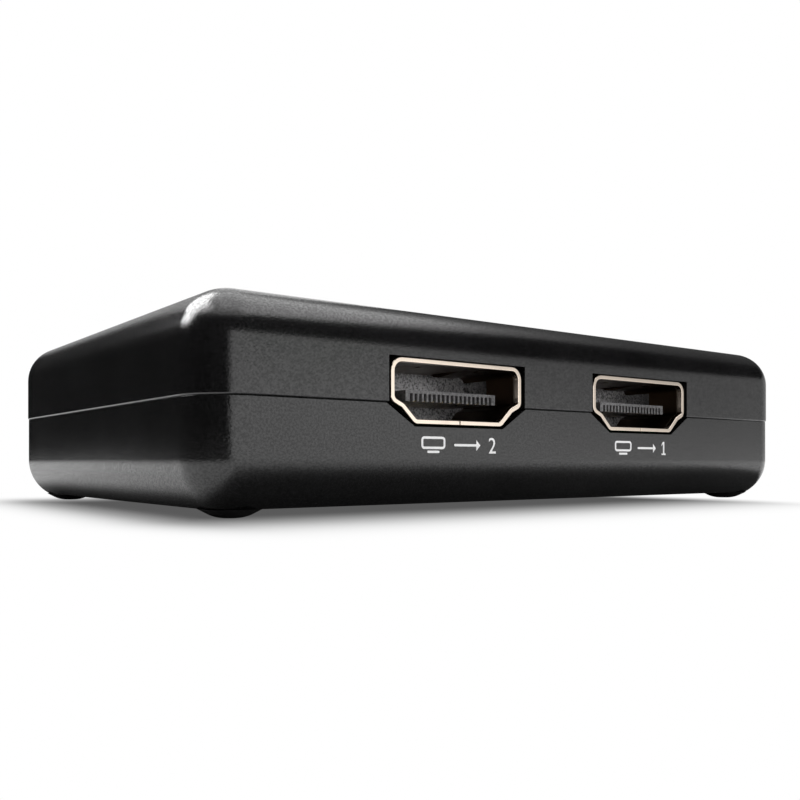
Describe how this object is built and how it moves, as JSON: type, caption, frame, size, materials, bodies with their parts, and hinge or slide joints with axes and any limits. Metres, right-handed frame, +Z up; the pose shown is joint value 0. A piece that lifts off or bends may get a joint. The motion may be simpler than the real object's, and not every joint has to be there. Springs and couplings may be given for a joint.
{
  "type": "hdmi splitter",
  "caption": "Small flat black box that passes one video input on to its output sockets, with rounded two-part plastic case, gold-plated sockets, power jack, board inside and rubber feet.",
  "frame": {"origin": "centre of the footprint on the table, under the tips of the feet", "axes": "+X along the width, seen from the outputs to the right; +Y from the outputs to the input; +Z up"},
  "size_m": [0.075, 0.048, 0.0171],
  "materials": {
    "case_black": "satin black moulding with a very fine grain",
    "rubber_black": "matt black rubber",
    "screw_steel": "zinc-plated steel",
    "board_green": "glass-fibre board with green solder mask",
    "gold_plate": "pale gold plating on folded sheet",
    "insulator_black": "grainy black moulding",
    "contact_gold": "gold-plated contacts",
    "spring_nickel": "nickel-plated brass",
    "chip_black": "matt black package",
    "choke_ferrite": "dark grey ferrite",
    "can_aluminium": "bare aluminium can",
    "ceramic_tan": "tan ceramic",
    "crystal_metal": "plated metal can",
    "lamp_cream": "cream resin",
    "guide_clear": "frosted clear plastic"
  },
  "bodies": {
    "case": {"top_cover": "case_black", "bottom_cover": "case_black", "rubber_feet": "rubber_black", "case_screws": "screw_steel", "main_board": "board_green", "output_1_shell": "gold_plate", "output_2_shell": "gold_plate", "input_shell": "gold_plate", "output_1_insulator": "insulator_black", "output_2_insulator": "insulator_black", "input_insulator": "insulator_black", "power_jack_body": "insulator_black", "output_1_contacts": "contact_gold", "output_2_contacts": "contact_gold", "input_contacts": "contact_gold", "power_jack_pin": "spring_nickel", "splitter_chip": "chip_black", "memory_chip": "chip_black", "control_chip": "chip_black", "voltage_regulators": "chip_black", "resistors": "chip_black", "protection_arrays": "chip_black", "choke": "choke_ferrite", "electrolytic_capacitors": "can_aluminium", "ceramic_capacitors": "ceramic_tan", "crystal": "crystal_metal", "status_lamps": "lamp_cream", "light_guide": "guide_clear"},
    "output_1_upper_fingers": {"output_1_upper_fingers": "gold_plate"},
    "output_1_lower_fingers": {"output_1_lower_fingers": "gold_plate"},
    "output_2_upper_fingers": {"output_2_upper_fingers": "gold_plate"},
    "output_2_lower_fingers": {"output_2_lower_fingers": "gold_plate"},
    "input_upper_fingers": {"input_upper_fingers": "gold_plate"},
    "input_lower_fingers": {"input_lower_fingers": "gold_plate"},
    "power_jack_leaf": {"power_jack_leaf": "spring_nickel"}
  },
  "joints": [
    {"name": "output_1_upper_fingers_flex", "type": "hinge", "parent": "case", "child": "output_1_upper_fingers", "pos_m": [0.01105, -0.02166, 0.01246], "axis": [1, 0, 0], "range_deg": [0, 5.2], "stiffness_Nm_per_rad": 0.13},
    {"name": "output_1_lower_fingers_flex", "type": "hinge", "parent": "case", "child": "output_1_lower_fingers", "pos_m": [0.01105, -0.02166, 0.00751], "axis": [-1, 0, 0], "range_deg": [0, 5.2], "stiffness_Nm_per_rad": 0.13},
    {"name": "output_2_upper_fingers_flex", "type": "hinge", "parent": "case", "child": "output_2_upper_fingers", "pos_m": [-0.01365, -0.02166, 0.01246], "axis": [1, 0, 0], "range_deg": [0, 5.2], "stiffness_Nm_per_rad": 0.13},
    {"name": "output_2_lower_fingers_flex", "type": "hinge", "parent": "case", "child": "output_2_lower_fingers", "pos_m": [-0.01365, -0.02166, 0.00751], "axis": [-1, 0, 0], "range_deg": [0, 5.2], "stiffness_Nm_per_rad": 0.13},
    {"name": "input_upper_fingers_flex", "type": "hinge", "parent": "case", "child": "input_upper_fingers", "pos_m": [-0.0013, 0.02166, 0.01246], "axis": [-1, 0, 0], "range_deg": [0, 5.2], "stiffness_Nm_per_rad": 0.13},
    {"name": "input_lower_fingers_flex", "type": "hinge", "parent": "case", "child": "input_lower_fingers", "pos_m": [-0.0013, 0.02166, 0.00751], "axis": [1, 0, 0], "range_deg": [0, 5.2], "stiffness_Nm_per_rad": 0.13},
    {"name": "power_jack_leaf_flex", "type": "hinge", "parent": "case", "child": "power_jack_leaf", "pos_m": [0.02, 0.01406, 0.01226], "axis": [1, 0, 0], "range_deg": [0, 3.8], "stiffness_Nm_per_rad": 0.065}
  ]
}
